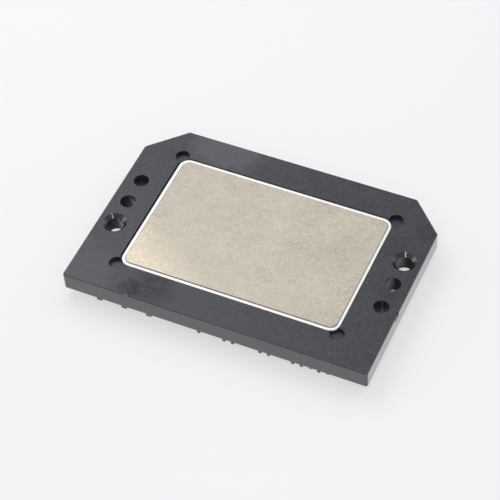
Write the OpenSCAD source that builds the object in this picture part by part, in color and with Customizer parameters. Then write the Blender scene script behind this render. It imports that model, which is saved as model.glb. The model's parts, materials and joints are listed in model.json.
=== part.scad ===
// Flat bridge module for a motor drive, lying on its pins with the cooling face up.
// Millimetres. X runs along the long edges, +Y points to the edge with the cut corners, +Z is up.
// The origin is on the surface that the pins stand on, under the middle of the frame.

/* [Frame] */
// Length of the moulded frame
frame_length = 107; // [103:0.5:118]
// Width of the moulded frame
frame_width = 72.8; // [70:0.2:84]
// Thickness of the moulded frame
frame_thickness = 6.5; // [6.2:0.1:9]
// How far each of the two cut corners is taken back along both edges
corner_cut = 11.6; // [6:0.2:14]
// Radius of the frame's upright edges
upright_radius = 0.8; // [0.6:0.1:1.6]
// Rounding of the rims of the two broad faces
rim_radius = 0.25; // [0.1:0.05:0.35]
// Length of the trimmed gate mark on the right-hand end
gate_mark_length = 3; // [1:0.2:6]
// How far the gate mark goes into that end
gate_mark_depth = 0.35; // [0.1:0.05:0.6]
// Height of the gate mark below the cooling face
gate_mark_height = 1.6; // [0.5:0.1:3]
// Place of the gate mark along the end
gate_mark_y = -11.6; // [-20:0.2:-6]

/* [Holes] */
// Distance of each row of holes from the end of the frame
hole_row_inset = 5.9; // [5.2:0.1:7.5]
// Distance between neighbouring holes of a row
hole_pitch = 10; // [8.5:0.5:13]
// Diameter of the two screw holes
screw_hole_d = 5.7; // [4.4:0.1:6.4]
// Diameter of the mouth of the screw holes' countersinks
countersink_d = 8.1; // [6.8:0.1:9.4]
// Diameter of the two plain holes in the middle of the rows
plain_hole_d = 5.4; // [4:0.1:6.4]
// Diameter of the two blind holes
blind_hole_d = 5.2; // [3:0.1:6]
// Depth of the two blind holes
blind_hole_depth = 3.2; // [1.5:0.1:4.5]

/* [Substrate] */
// Length of the ceramic tile
tile_length = 77.1; // [75:0.1:80]
// Width of the ceramic tile
tile_width = 49.6; // [48.4:0.2:52]
// Thickness of the ceramic tile
tile_thickness = 0.63; // [0.38:0.01:0.8]
// Corner radius of the ceramic tile
tile_corner_radius = 3.6; // [1.6:0.1:4]
// Bare ceramic border round the foot of the cooling metal
metal_border = 0.9; // [0.6:0.1:2]
// Width of the etched slope round the cooling metal
metal_flank = 0.35; // [0.1:0.05:0.6]
// Corner radius of the cooling metal's foot
metal_corner_radius = 2.6; // [1:0.1:3]
// How far the cooling metal lies to the right of the tile's middle
metal_shift = 0.1; // [-0.3:0.05:0.3]
// Thickness of the cooling metal
cooling_metal_thickness = 0.3; // [0.2:0.05:0.4]
// How far the cooling metal stands proud of the frame
cooling_metal_proud = 0.1; // [0.05:0.05:0.2]
// Thickness of the circuit metal
circuit_metal_thickness = 0.3; // [0.2:0.05:0.4]
// Bare ceramic border round the circuit metal
circuit_border = 2.6; // [2.4:0.1:3]
// Mean gap between the tile and the window in the frame
tile_gap = 0.4; // [0.35:0.05:0.6]
// How far the tile lies to the right of the window's middle
tile_nudge_x = 0.25; // [-0.3:0.05:0.3]
// How far the tile lies behind the window's middle
tile_nudge_y = 0; // [-0.2:0.05:0.2]
// How far the window's middle lies to the right of the frame's middle
window_shift = -0.5; // [-0.6:0.1:0.6]
// Radius of the round reliefs at the tile's corners
relief_radius = 2.5; // [1.5:0.1:3]
// How far the centre of each relief lies outside the tile's corner, along both edges
relief_offset = 0.5; // [0:0.1:1.1]
// Depth of the reliefs below the cooling face
relief_depth = 1.5; // [1:0.1:1.8]
// Width of the ledge that carries the tile
ledge_width = 1.9; // [1.5:0.1:2.2]
// Thickness of the adhesive between the ledge and the tile
seal_thickness = 0.12; // [0.08:0.02:0.2]
// How far the adhesive stays back from the edge of the tile
seal_inset = 0.4; // [0.2:0.05:0.6]

/* [Cavity and lid] */
// Depth of the bond shelves along the two long sides
shelf_width = 4.6; // [4:0.1:5.4]
// Moulding between the tile's ledge and the bond shelves' strips
shelf_cover = 0.85; // [0.6:0.05:1.2]
// Corner radius of the cavity
cavity_corner_radius = 1.5; // [0.6:0.1:2]
// Thickness of the lid on the board side
lid_thickness = 1.2; // [0.8:0.1:1.5]
// Width of the seat that carries the lid
lid_seat = 1; // [0.6:0.1:1.6]
// Gap round the lid
lid_gap = 0.1; // [0.05:0.05:0.3]
// Air space between the lid and the gel
air_space = 0.5; // [0.3:0.1:0.7]

/* [Terminals] */
// Pitch of the pin grid
pin_pitch = 3; // [2.9:0.02:3.1]
// How far the pin grid lies to the right of the frame's middle
pin_shift = 0.2; // [-0.4:0.1:0.4]
// How far the pins reach past the board side of the frame
pin_reach = 3.5; // [2:0.1:6]
// Distance of the pins' middle from the long edge of the frame
pin_setback = 2; // [1.6:0.1:2.6]
// Thickness of the terminal strip
strip_thickness = 0.8; // [0.6:0.05:0.9]
// Width of a signal pin
signal_pin_width = 1; // [0.7:0.05:1.4]
// Width of a power pin
power_pin_width = 1.8; // [1.4:0.1:2.4]
// Chamfer round the tip of each pin
pin_tip_chamfer = 0.25; // [0.1:0.05:0.28]
// Inside radius of the bend between strip and pin
bend_radius = 0.5; // [0.3:0.1:1]
// Width of a signal terminal's bond pad
signal_pad_width = 1.5; // [1.4:0.1:1.7]
// Width of a power terminal's bond pad
power_pad_width = 3; // [2.4:0.1:3.2]
// Bare shelf between the bond pads and the ledge
pad_inset = 0.3; // [0.1:0.05:0.6]
// How far the bond pads run into the moulding before they narrow
pad_anchor = 0.5; // [0.3:0.05:0.8]
// Distance of the outermost bond pad's middle from the end of the cavity
pad_margin = 2.8; // [2.2:0.1:3.4]

/* [Circuit] */
// Gap between neighbouring islands of circuit metal
island_gap = 0.8; // [0.6:0.05:0.9]
// How much wider a phase cell is than a line island
phase_extra = 5.9; // [5.7:0.1:6.1]
// Width of the two positive arms
plus_arm_width = 4; // [3.4:0.1:4.2]
// Width of the negative arm
minus_arm_width = 3.5; // [3.2:0.1:3.8]
// Width of the brake gate track
gate_track_width = 1.2; // [0.8:0.1:1.5]
// Depth of the positive bus under the upper switches
plus_bus_depth = 13.4; // [13:0.1:13.8]
// Depth of the phase islands
phase_depth = 17; // [16:0.1:17.6]
// Width of the tab that takes each phase to the rear edge
phase_tab_width = 3; // [2.8:0.1:3.3]
// Width of the lower gate islands
gate_island_width = 1.8; // [1.4:0.1:2]
// Depth of the rectifier's negative strip
minus_strip_depth = 3.5; // [3:0.1:3.8]
// How much deeper the brake island is than the line islands
brake_extra_depth = 3; // [2.6:0.1:3.4]
// Length of the two thermistor lands
thermistor_land_length = 3.2; // [2.6:0.1:3.6]
// Width of the two thermistor lands
thermistor_land_width = 1.8; // [1.4:0.1:2]
// Width of the thermistor, along Y
thermistor_width = 1.3; // [0.9:0.1:1.6]
// Height of the thermistor
thermistor_height = 0.6; // [0.4:0.05:0.8]
// Bare land left at each end of the thermistor
thermistor_overhang = 0.4; // [0.2:0.05:0.6]
// Bare land left behind the thermistor
thermistor_inset = 0.3; // [0.1:0.05:0.5]

/* [Chips] */
// Gap between a switch chip and the diode beside it
chip_gap = 0.8; // [0.6:0.1:1.6]
// Length of a switch chip, along Y
igbt_length = 8.6; // [7.6:0.1:9]
// Width of a freewheel diode chip
diode_width = 3.8; // [3:0.1:3.9]
// Length of a freewheel diode chip
diode_length = 6.4; // [5.4:0.1:6.8]
// Bare metal at both sides of a rectifier diode chip
rectifier_edge = 0.5; // [0.4:0.05:0.8]
// Thickness of every chip
chip_thickness = 0.32; // [0.2:0.02:0.4]
// Thickness of the solder under every chip
solder_thickness = 0.1; // [0.06:0.02:0.14]
// How far the solder shows round every chip
solder_margin = 0.15; // [0.05:0.05:0.2]
// Bare metal between a chip and the edge of its island
chip_edge = 0.4; // [0.3:0.05:0.5]
// Bare metal between the brake switch and the rear edge of its island
brake_igbt_inset = 3.6; // [3.2:0.1:4.4]

/* [Bond wires] */
// Diameter of a power bond wire
power_wire_d = 0.3; // [0.2:0.02:0.38]
// Diameter of a signal bond wire
signal_wire_d = 0.2; // [0.12:0.02:0.25]
// Height of the loop of a bond wire
wire_rise = 1.3; // [1.1:0.05:1.5]
// Pitch of the wires on a switch chip or a turned diode
chip_wire_pitch = 1.4; // [1.2:0.05:1.5]
// Pitch of the wires on a rectifier diode
diode_wire_pitch = 1.2; // [0.9:0.05:1.3]
// Pitch of the wires on a power terminal's pad
pad_wire_pitch = 0.8; // [0.7:0.02:0.85]
// Distance of a wire's foot from the edge of its island
land_inset = 1; // [0.8:0.05:1.2]
// Distance of a power wire's foot from the middle of its switch chip
chip_foot = 1; // [0.6:0.1:1.4]
// Distance of a gate wire's foot from the edge of its switch chip
gate_foot = 0.6; // [0.4:0.05:0.9]
// Distance between the gate foot and the emitter foot on an upper switch
sense_foot = 1.6; // [1.2:0.1:2]
// Air between a wire and the gel that it lies in
wire_room = 0.03; // [0.02:0.01:0.06]

/* [Hidden] */
$fn = 48;
EPS = 0.01;
PHASES = ["u", "v", "w"];

// Levels, from the surface that the pins stand on
board_z = pin_reach;
back_z = board_z + frame_thickness;
metal_top_z = back_z + cooling_metal_proud;
tile_top_z = metal_top_z - cooling_metal_thickness;
tile_z = tile_top_z - tile_thickness;
circuit_z = tile_z - circuit_metal_thickness;
solder_z = circuit_z - solder_thickness;
chip_z = solder_z - chip_thickness;
ledge_z = tile_z - seal_thickness;
shelf_z = ledge_z - shelf_cover - strip_thickness;
lid_top_z = board_z + lid_thickness;
gel_z = lid_top_z + air_space;

// Plan sizes, as half lengths about the window's middle
window_half = [tile_length / 2 + tile_gap, tile_width / 2 + tile_gap];
ledge_half = [tile_length / 2 - ledge_width, tile_width / 2 - ledge_width];
cavity_half = [ledge_half.x, ledge_half.y + shelf_width];
lid_half = [cavity_half.x + lid_seat, cavity_half.y + lid_seat];
tile_centre = [window_shift + tile_nudge_x, tile_nudge_y];
hole_row_x = frame_length / 2 - hole_row_inset;
countersink_depth = (countersink_d - screw_hole_d) / 2;

frame_outline = let (x = frame_length / 2, y = frame_width / 2) [
    [-x, -y], [x, -y], [x, y - corner_cut], [x - corner_cut, y], [corner_cut - x, y], [-x, y - corner_cut]
];

// Terminals: name, place on the pin grid, whether it carries power, how far it stands back from its row
FRONT_TERMINALS = [
    ["line_pin_1", -14, true, 0], ["line_pin_2", -11, true, 0], ["line_pin_3", -8, true, 0],
    ["brake_gate_pin", -2, false, 0],
    ["upper_gate_pin_u", 1, false, 0], ["upper_emitter_pin_u", 2, false, 0],
    ["upper_gate_pin_v", 5.2, false, 0], ["upper_emitter_pin_v", 6.2, false, 0],
    ["upper_gate_pin_w", 9, false, 0], ["upper_emitter_pin_w", 10, false, 0],
    ["plus_sense_pin", 11, false, 0.4],
    ["thermistor_pin_1", 12, false, 0], ["thermistor_pin_2", 13, false, 0.4]
];
REAR_TERMINALS = [
    ["rectified_plus_pin", -13.5, true, 0], ["brake_pin", -8, true, 0],
    ["minus_pin", -5, true, 0], ["plus_pin", -2.5, true, 0],
    for (k = [0:2]) each [
        [str("phase_pin_", PHASES[k]), 5 * k, true, 0],
        [str("phase_minus_pin_", PHASES[k]), 5 * k + 1.5, true, 0],
        [str("lower_gate_pin_", PHASES[k]), 5 * k + 3, false, 0]
    ]
];

function phase_terminal(k, i) = REAR_TERMINALS[4 + 3 * k + i];
function pin_x(terminal) = terminal[1] * pin_pitch + pin_shift;
// The pads lie closer together than the pins, so that the outermost one clears the cavity's end
fan_in = (ledge_half.x - window_shift - pad_margin) / -pin_x(FRONT_TERMINALS[0]);
function pad_x(terminal) = pin_x(terminal) * fan_in;
function pin_width(terminal) = terminal[2] ? power_pin_width : signal_pin_width;
function pad_width(terminal) = terminal[2] ? power_pad_width : signal_pad_width;
// Outer face of the pin, from the frame's middle
function pin_face(terminal) = frame_width / 2 - pin_setback - terminal[3] + strip_thickness / 2;

// Circuit metal, as rectangles and outlines about the tile's middle
field = [tile_length / 2 - circuit_border, tile_width / 2 - circuit_border];
// Three line islands and three phase cells share the length that the arms and the track leave
line_pitch = (2 * field.x - minus_arm_width - gate_track_width - plus_arm_width - 2 * island_gap
    - 3 * phase_extra) / 6;
phase_pitch = line_pitch + phase_extra;
line_width = line_pitch - island_gap;
cell_width = phase_pitch - island_gap;
function cell_left(k) = field.x - (3 - k) * phase_pitch + island_gap;
igbt_width = cell_width - diode_width - chip_gap - 2 * chip_edge;
rectifier_chip = line_width - 2 * rectifier_edge;
rectified_depth = rectifier_chip + diode_width + 3 * chip_edge;
plus_arm_right = cell_left(0) - island_gap;
plus_arm_left = plus_arm_right - plus_arm_width;
track_left = plus_arm_left - island_gap - gate_track_width;
minus_arm_right = track_left - island_gap;
minus_arm_left = minus_arm_right - minus_arm_width;
left_block_right = minus_arm_left - island_gap;
function line_left(i) = -field.x + i * line_pitch;
minus_strip_top = -field.y + minus_strip_depth;
line_front = minus_strip_top + island_gap;
// Two rows of the same depth share what the strip, the rectified island and the brake island leave
line_island_depth =
    (2 * field.y - minus_strip_depth - rectified_depth - 3 * island_gap - brake_extra_depth) / 2;
line_rear = line_front + line_island_depth;
rectified_front = line_rear + island_gap;
rectified_rear = rectified_front + rectified_depth;
brake_front = rectified_rear + island_gap;
brake_left = -field.x + plus_arm_width + island_gap;
bus_rear = -field.y + plus_bus_depth;
phase_front = bus_rear + island_gap;
phase_rear = phase_front + phase_depth;
rear_front = phase_rear + island_gap;
minus_island_left = phase_tab_width + island_gap;
gate_island_left = cell_width - gate_island_width;
minus_island_width = gate_island_left - island_gap - minus_island_left;
lands_left = field.x - 2 * thermistor_land_width - island_gap;
lands_rear = -field.y + thermistor_land_length;
function land_left(i) = lands_left + i * (thermistor_land_width + island_gap);
plus_arm_x = (plus_arm_left + plus_arm_right) / 2;
minus_arm_x = (minus_arm_left + minus_arm_right) / 2;
track_x = track_left + gate_track_width / 2;
minus_strip_middle = minus_strip_depth / 2 - field.y;

// Chip centres about the tile's middle
function upper_igbt_at(k) = [
    cell_left(k) + chip_edge + igbt_width / 2,
    bus_rear - chip_edge - diode_length / 2 - (igbt_length - diode_length)
];
function upper_diode_at(k) = [
    cell_left(k) + cell_width - chip_edge - diode_width / 2, bus_rear - chip_edge - diode_length / 2
];
function lower_igbt_at(k) = [
    cell_left(k) + cell_width - chip_edge - igbt_width / 2, phase_rear - chip_edge - igbt_length / 2
];
function lower_diode_at(k) = [
    cell_left(k) + chip_edge + diode_width / 2, phase_rear - chip_edge - diode_length / 2
];
function upper_rectifier_at(i) = [
    line_left(i) + line_width / 2, rectified_front + chip_edge + rectifier_chip / 2
];
function lower_rectifier_at(i) = [line_left(i) + line_width / 2, (line_front + line_rear) / 2 - chip_edge];
brake_igbt_at = [
    left_block_right - chip_edge - igbt_width / 2, field.y - brake_igbt_inset - igbt_length / 2
];
brake_diode_at = [
    left_block_right - chip_edge - diode_length / 2, rectified_rear - chip_edge - diode_width / 2
];
track_rear = brake_igbt_at.y - igbt_length / 4;

IGBT = [igbt_width, igbt_length];
DIODE = [diode_width, diode_length];
TURNED_DIODE = [diode_length, diode_width];
RECTIFIER = [rectifier_chip, rectifier_chip];
// Every chip's centre and size, for the solder and the gel
CHIPS = [
    for (k = [0:2]) each [
        [upper_igbt_at(k), IGBT], [upper_diode_at(k), DIODE],
        [lower_igbt_at(k), IGBT], [lower_diode_at(k), DIODE],
        [upper_rectifier_at(k), RECTIFIER], [lower_rectifier_at(k), RECTIFIER]
    ],
    [brake_igbt_at, IGBT], [brake_diode_at, TURNED_DIODE]
];
// The thermistor bridges its two lands
thermistor_size = [
    2 * (thermistor_land_width - thermistor_overhang) + island_gap, thermistor_width, thermistor_height
];
thermistor_at = [
    lands_left + thermistor_land_width + island_gap / 2, lands_rear - thermistor_inset - thermistor_width / 2
];
land_foot_y = (thermistor_at.y - thermistor_width / 2 - field.y) / 2;

// Bond wires run between feet: a foot on a chip, on an island or on a terminal's pad.
function on_chip(p) = [p.x + tile_centre.x, p.y + tile_centre.y, chip_z];
function on_island(p) = [p.x + tile_centre.x, p.y + tile_centre.y, circuit_z];
function on_pad(terminal, side) = [
    pad_x(terminal), side * (ledge_half.y + (pad_inset + shelf_width) / 2), shelf_z
];
// Each row of wires: first foot, second foot, number of wires and their pitch
POWER_BONDS = [
    for (k = [0:2]) each let (
        ui = upper_igbt_at(k), ud = upper_diode_at(k), li = lower_igbt_at(k), ld = lower_diode_at(k),
        minus_x = cell_left(k) + minus_island_left, row_x = minus_x + 0.6 * minus_island_width
    ) [
        [on_chip(ui + [0, chip_foot]), on_island([ui.x, phase_front + land_inset]), 4, chip_wire_pitch],
        [on_chip(ud), on_island([ud.x, phase_front + land_inset]), 2, chip_wire_pitch],
        [on_chip([row_x, li.y + chip_foot]), on_island([row_x, rear_front + land_inset]), 3, chip_wire_pitch],
        [on_chip(ld + [0, chip_foot]), on_island([minus_x + land_inset, rear_front + land_inset]), 1, 0],
        [on_island([cell_left(k) + phase_tab_width / 2, field.y - land_inset]),
            on_pad(phase_terminal(k, 0), 1), 3, pad_wire_pitch],
        [on_island([minus_x + minus_island_width / 2, field.y - land_inset]),
            on_pad(phase_terminal(k, 1), 1), 3, pad_wire_pitch]
    ],
    for (i = [0:2]) each let (u = upper_rectifier_at(i), l = lower_rectifier_at(i), aside = line_width / 4) [
        [on_chip(u), on_island([u.x, line_rear - land_inset]), 3, diode_wire_pitch],
        [on_chip(l + [aside, 0]), on_island([l.x + aside, minus_strip_middle]), 3, pad_wire_pitch],
        [on_island([l.x - aside, line_front + land_inset]), on_pad(FRONT_TERMINALS[i], -1),
            3, pad_wire_pitch]
    ],
    [on_chip(brake_igbt_at + [0, chip_foot]), on_island([minus_arm_x, brake_igbt_at.y + chip_foot]),
        3, chip_wire_pitch],
    [on_chip(brake_diode_at), on_island([brake_diode_at.x, brake_front + land_inset]), 3, chip_wire_pitch],
    [on_island([plus_arm_width / 2 - field.x, field.y - land_inset]), on_pad(REAR_TERMINALS[0], 1),
        3, pad_wire_pitch],
    [on_island([brake_igbt_at.x, field.y - land_inset]), on_pad(REAR_TERMINALS[1], 1), 3, pad_wire_pitch],
    [on_island([minus_arm_x, field.y - land_inset]), on_pad(REAR_TERMINALS[2], 1), 3, pad_wire_pitch],
    [on_island([plus_arm_x, field.y - land_inset]), on_pad(REAR_TERMINALS[3], 1), 3, pad_wire_pitch]
];
SIGNAL_BONDS = [
    for (k = [0:2]) each let (
        gate = upper_igbt_at(k) + [0, gate_foot - igbt_length / 2],
        lower_gate_y = lower_igbt_at(k).y + igbt_length / 2 - gate_foot,
        gate_x = cell_left(k) + gate_island_left + gate_island_width / 2
    ) [
        [on_chip(gate), on_pad(FRONT_TERMINALS[4 + 2 * k], -1), 1, 0],
        [on_chip(gate + [sense_foot, 0]), on_pad(FRONT_TERMINALS[5 + 2 * k], -1), 1, 0],
        [on_chip([gate_x - chip_edge, lower_gate_y]), on_island([gate_x, rear_front + land_inset]), 1, 0],
        [on_island([gate_x, field.y - land_inset]), on_pad(phase_terminal(k, 2), 1), 1, 0]
    ],
    [on_chip(brake_igbt_at + [igbt_width / 2 - gate_foot, gate_foot - igbt_length / 2]),
        on_island([track_x, track_rear - land_inset]), 1, 0],
    [on_island([track_x, land_inset - field.y]), on_pad(FRONT_TERMINALS[3], -1), 1, 0],
    [on_island([lands_left - island_gap - land_inset, land_inset - field.y]), on_pad(FRONT_TERMINALS[10], -1),
        1, 0],
    for (i = [0:1]) let (land_x = land_left(i) + thermistor_land_width / 2)
        [on_island([land_x, land_foot_y]), on_pad(FRONT_TERMINALS[11 + i], -1), 1, 0]
];

// ---- Shared shapes ----

function unit(v) = v / norm(v);
function box_points(half) = [[-half.x, -half.y], [half.x, -half.y], [half.x, half.y], [-half.x, half.y]];
function towards_last(points, i) = unit(points[(i + len(points) - 1) % len(points)] - points[i]);
function towards_next(points, i) = unit(points[(i + 1) % len(points)] - points[i]);
function half_corner(points, i) = acos(towards_last(points, i) * towards_next(points, i)) / 2;
// Centre of the round of radius r in corner i of a convex outline
function round_centre(points, i, r) =
    points[i] + unit(towards_last(points, i) + towards_next(points, i)) * r / sin(half_corner(points, i));

// Convex outline with true round corners
module rounded_outline(points, r) {
    polygon([for (i = [0:len(points) - 1]) let (t = r / tan(half_corner(points, i))) each [
        points[i] + towards_last(points, i) * t, points[i] + towards_next(points, i) * t
    ]]);
    for (i = [0:len(points) - 1]) translate(round_centre(points, i, r)) circle(r);
}

module rounded_box(half, r, z0, z1) {
    translate([0, 0, z0]) linear_extrude(z1 - z0) rounded_outline(box_points(half), r);
}

// Convex plate with upright edges of radius r and rounded rims: the hull of slabs that narrow
// towards its two faces
module rimmed_plate(points, r, thickness, rim) {
    hull() for (a = [0:30:90], i = [0:len(points) - 1]) let (z = rim * (1 - cos(a)))
        translate(round_centre(points, i, r)) translate([0, 0, z])
            cylinder(r = r - rim * (1 - sin(a)), h = thickness - 2 * z);
}

module in_window() { translate([window_shift, 0, 0]) children(); }
module on_tile() { translate([tile_centre.x, tile_centre.y, 0]) children(); }
// A flat piece of circuit metal, from an outline about the tile's middle
module island() { on_tile() translate([0, 0, circuit_z]) linear_extrude(circuit_metal_thickness) children(); }
module rectangle(x0, x1, y0, y1) { translate([x0, y0]) square([x1 - x0, y1 - y0]); }
module chip(at, size) {
    on_tile() translate([at.x - size.x / 2, at.y - size.y / 2, chip_z])
        cube([size.x, size.y, chip_thickness]);
}

// ---- Moulded frame ----

module screw_hole() {
    translate([0, 0, board_z - 1]) cylinder(d = screw_hole_d, h = frame_thickness + 2);
    translate([0, 0, back_z - countersink_depth])
        cylinder(d1 = screw_hole_d, d2 = countersink_d, h = countersink_depth);
    translate([0, 0, back_z - EPS]) cylinder(d = countersink_d, h = 1);
}

// A row of three holes; the other end's row is the same one turned half round
module hole_row() {
    translate([hole_row_x, hole_pitch, 0]) screw_hole();
    translate([hole_row_x, 0, board_z - 1]) cylinder(d = plain_hole_d, h = frame_thickness + 2);
    translate([hole_row_x, -hole_pitch, back_z - blind_hole_depth])
        cylinder(d = blind_hole_d, h = blind_hole_depth + 1);
}

module corner_reliefs() {
    at = [tile_length / 2 + relief_offset, tile_width / 2 + relief_offset];
    on_tile() for (x = [-1, 1], y = [-1, 1]) translate([x * at.x, y * at.y, back_z - relief_depth])
        cylinder(r = relief_radius, h = relief_depth + 1);
}

// Plan of a terminal's strip up to the start of its bend, outwards along +Y
module strip_plan(terminal, end) {
    pad = pad_x(terminal);
    pin = pin_x(terminal);
    half = pin_width(terminal) / 2;
    half_pad = pad_width(terminal) / 2;
    inner = ledge_half.y + pad_inset;
    neck = cavity_half.y + pad_anchor;
    turn = pin_face(terminal) - strip_thickness - bend_radius;
    polygon([
        [pad - half_pad, inner], [pad + half_pad, inner], [pad + half_pad, neck], [pad + half, neck],
        [pin + half, turn], [pin + half, end], [pin - half, end], [pin - half, turn],
        [pad - half, neck], [pad - half_pad, neck]
    ]);
}

// The room that a terminal takes up inside the moulding
module terminal_bed(terminal) {
    face = pin_face(terminal);
    width = pin_width(terminal);
    left = pin_x(terminal) - width / 2;
    translate([0, 0, shelf_z]) linear_extrude(strip_thickness) strip_plan(terminal, face);
    translate([left, face - strip_thickness, board_z - 1])
        cube([width, strip_thickness, shelf_z - board_z + 1 + EPS]);
    translate([left, face - strip_thickness - bend_radius, shelf_z - bend_radius])
        cube([width, bend_radius + EPS, bend_radius + EPS]);
}

module frame() {
    color("#38393c") difference() {
        translate([0, 0, board_z]) rimmed_plate(frame_outline, upright_radius, frame_thickness, rim_radius);
        in_window() {
            rounded_box(window_half, tile_corner_radius + tile_gap, ledge_z, back_z + 1);
            rounded_box(ledge_half, cavity_corner_radius, lid_top_z, ledge_z + 1);
            rounded_box(cavity_half, cavity_corner_radius, lid_top_z - EPS, shelf_z);
            rounded_box(lid_half + [lid_gap, lid_gap], cavity_corner_radius + lid_gap, board_z - 1,
                lid_top_z);
        }
        corner_reliefs();
        for (turn = [0, 180]) rotate([0, 0, turn]) hole_row();
        for (t = REAR_TERMINALS) terminal_bed(t);
        for (t = FRONT_TERMINALS) mirror([0, 1, 0]) terminal_bed(t);
        translate([frame_length / 2 - gate_mark_depth, gate_mark_y, back_z - gate_mark_height])
            translate([0, -gate_mark_length / 2, 0])
                cube([gate_mark_depth + 1, gate_mark_length, gate_mark_height + 1]);
    }
}

module lid() {
    color("#2f3033") in_window() rounded_box(lid_half, cavity_corner_radius, board_z, lid_top_z);
}

// ---- Substrate ----

module ceramic_tile() {
    color("#f6f5f1") on_tile()
        rounded_box([tile_length / 2, tile_width / 2], tile_corner_radius, tile_z, tile_top_z);
}

// The metal field, whose etched edge slopes down to the ceramic
module cooling_metal() {
    inset = metal_border + metal_corner_radius;
    color("#c9c3b4") on_tile() translate([metal_shift, 0, tile_top_z]) hull()
        for (p = box_points([tile_length / 2 - inset, tile_width / 2 - inset])) translate(p)
            cylinder(r1 = metal_corner_radius, r2 = metal_corner_radius - metal_flank,
                h = cooling_metal_thickness);
}

module adhesive_seal() {
    color("#d9d5c8") difference() {
        on_tile() rounded_box([tile_length / 2 - seal_inset, tile_width / 2 - seal_inset],
            tile_corner_radius - seal_inset, ledge_z, tile_z);
        in_window() rounded_box(ledge_half, cavity_corner_radius, ledge_z - 1, tile_z + 1);
        corner_reliefs();
    }
}

module plus_bus() {
    color("#b87333") island() difference() {
        union() {
            rectangle(plus_arm_left, plus_arm_right, -field.y, field.y);
            rectangle(plus_arm_left, field.x, -field.y, bus_rear);
        }
        rectangle(lands_left - island_gap, field.x + 1, -field.y - 1, lands_rear + island_gap);
    }
}

module rectified_plus_island() {
    color("#b87333") island() {
        rectangle(-field.x, left_block_right, rectified_front, rectified_rear);
        rectangle(-field.x, -field.x + plus_arm_width, rectified_front, field.y);
    }
}

module minus_strip() {
    color("#b87333") island() {
        rectangle(-field.x, minus_arm_right, -field.y, minus_strip_top);
        rectangle(minus_arm_left, minus_arm_right, -field.y, field.y);
    }
}

module line_islands() {
    color("#b87333") for (i = [0:2]) island()
        rectangle(line_left(i), line_left(i) + line_width, line_front, line_rear);
}

module brake_island() {
    color("#b87333") island() rectangle(brake_left, left_block_right, brake_front, field.y);
}

module phase_island(k) {
    color("#b87333") island() {
        rectangle(cell_left(k), cell_left(k) + cell_width, phase_front, phase_rear);
        rectangle(cell_left(k), cell_left(k) + phase_tab_width, phase_front, field.y);
    }
}

module minus_islands() {
    color("#b87333") for (k = [0:2]) let (left = cell_left(k) + minus_island_left) island()
        rectangle(left, left + minus_island_width, rear_front, field.y);
}

module gate_islands() {
    color("#b87333") {
        for (k = [0:2]) island()
            rectangle(cell_left(k) + gate_island_left, cell_left(k) + cell_width, rear_front, field.y);
        island() rectangle(track_left, track_left + gate_track_width, -field.y, track_rear);
    }
}

module thermistor_lands() {
    color("#b87333") for (i = [0:1]) island()
        rectangle(land_left(i), land_left(i) + thermistor_land_width, -field.y, lands_rear);
}

module circuit_metal() {
    plus_bus();
    rectified_plus_island();
    minus_strip();
    line_islands();
    brake_island();
    for (k = [0:2]) phase_island(k);
    minus_islands();
    gate_islands();
    thermistor_lands();
}

// ---- Chips ----

module igbt(at) { color("#4c5560") chip(at, IGBT); }

module freewheel_diodes() {
    color("#5b6470") for (k = [0:2]) {
        chip(upper_diode_at(k), DIODE);
        chip(lower_diode_at(k), DIODE);
    }
}

module rectifier_diodes() {
    color("#59605f") for (i = [0:2]) {
        chip(upper_rectifier_at(i), RECTIFIER);
        chip(lower_rectifier_at(i), RECTIFIER);
    }
}

module thermistor() {
    color("#3a3f3a") on_tile()
        translate([thermistor_at.x, thermistor_at.y, circuit_z - thermistor_height / 2])
            cube(thermistor_size, center = true);
}

module chip_solder() {
    color("#a8a9a8") on_tile() for (c = CHIPS)
        translate([c[0].x - c[1].x / 2 - solder_margin, c[0].y - c[1].y / 2 - solder_margin, solder_z])
            cube([c[1].x + 2 * solder_margin, c[1].y + 2 * solder_margin, solder_thickness]);
}

// ---- Bond wires ----

// Places a hanging loop's children between two feet: an arc's centre is at the children's origin,
// and the arc runs in their XY plane, about -Y, with the given radius and half angle.
module loop_frame(from, to, rise) {
    chord = to - from;
    span = norm(chord);
    radius = loop_radius(from, to, rise);
    translate(from) rotate([0, -asin(chord.z / span), atan2(chord.y, chord.x)])
        translate([span / 2, 0, radius - rise])
            rotate([90, 0, 0]) rotate([0, 0, -90 - loop_half_angle(from, to, rise)]) children();
}

function loop_radius(from, to, rise) = (norm(to - from) ^ 2 / 4 + rise ^ 2) / (2 * rise);
function loop_half_angle(from, to, rise) = asin(norm(to - from) / 2 / loop_radius(from, to, rise));
// Wire i's sideways place in its row
function row_offset(bond, i) = let (along = bond[1] - bond[0], side = (i - (bond[2] - 1) / 2) * bond[3])
    unit([-along.y, along.x, 0]) * side;

// The flattened feet of a row of wires, pressed on a surface that faces down
FOOT = [2.2, 1.3, 0.9];
module feet(at, turn, d, row, room) {
    size = FOOT * d + [2 * room, row + 2 * room, room];
    translate(at) rotate([0, 0, turn]) translate([-size.x / 2, -size.y / 2, d / 2 - size.z]) cube(size);
}

function wire_turn(bond) = atan2(bond[1].y - bond[0].y, bond[1].x - bond[0].x);

module bond_wires(bonds, d) {
    for (bond = bonds, i = [0:bond[2] - 1]) let (
        shift = row_offset(bond, i) - [0, 0, d / 2],
        from = bond[0] + shift,
        to = bond[1] + shift
    ) union() {
        loop_frame(from, to, wire_rise)
            rotate_extrude(angle = 2 * loop_half_angle(from, to, wire_rise), $fn = 72)
                translate([loop_radius(from, to, wire_rise), 0]) circle(d = d, $fn = 16);
        for (foot = [from, to]) feet(foot, wire_turn(bond), d, 0, 0);
    }
}

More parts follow.
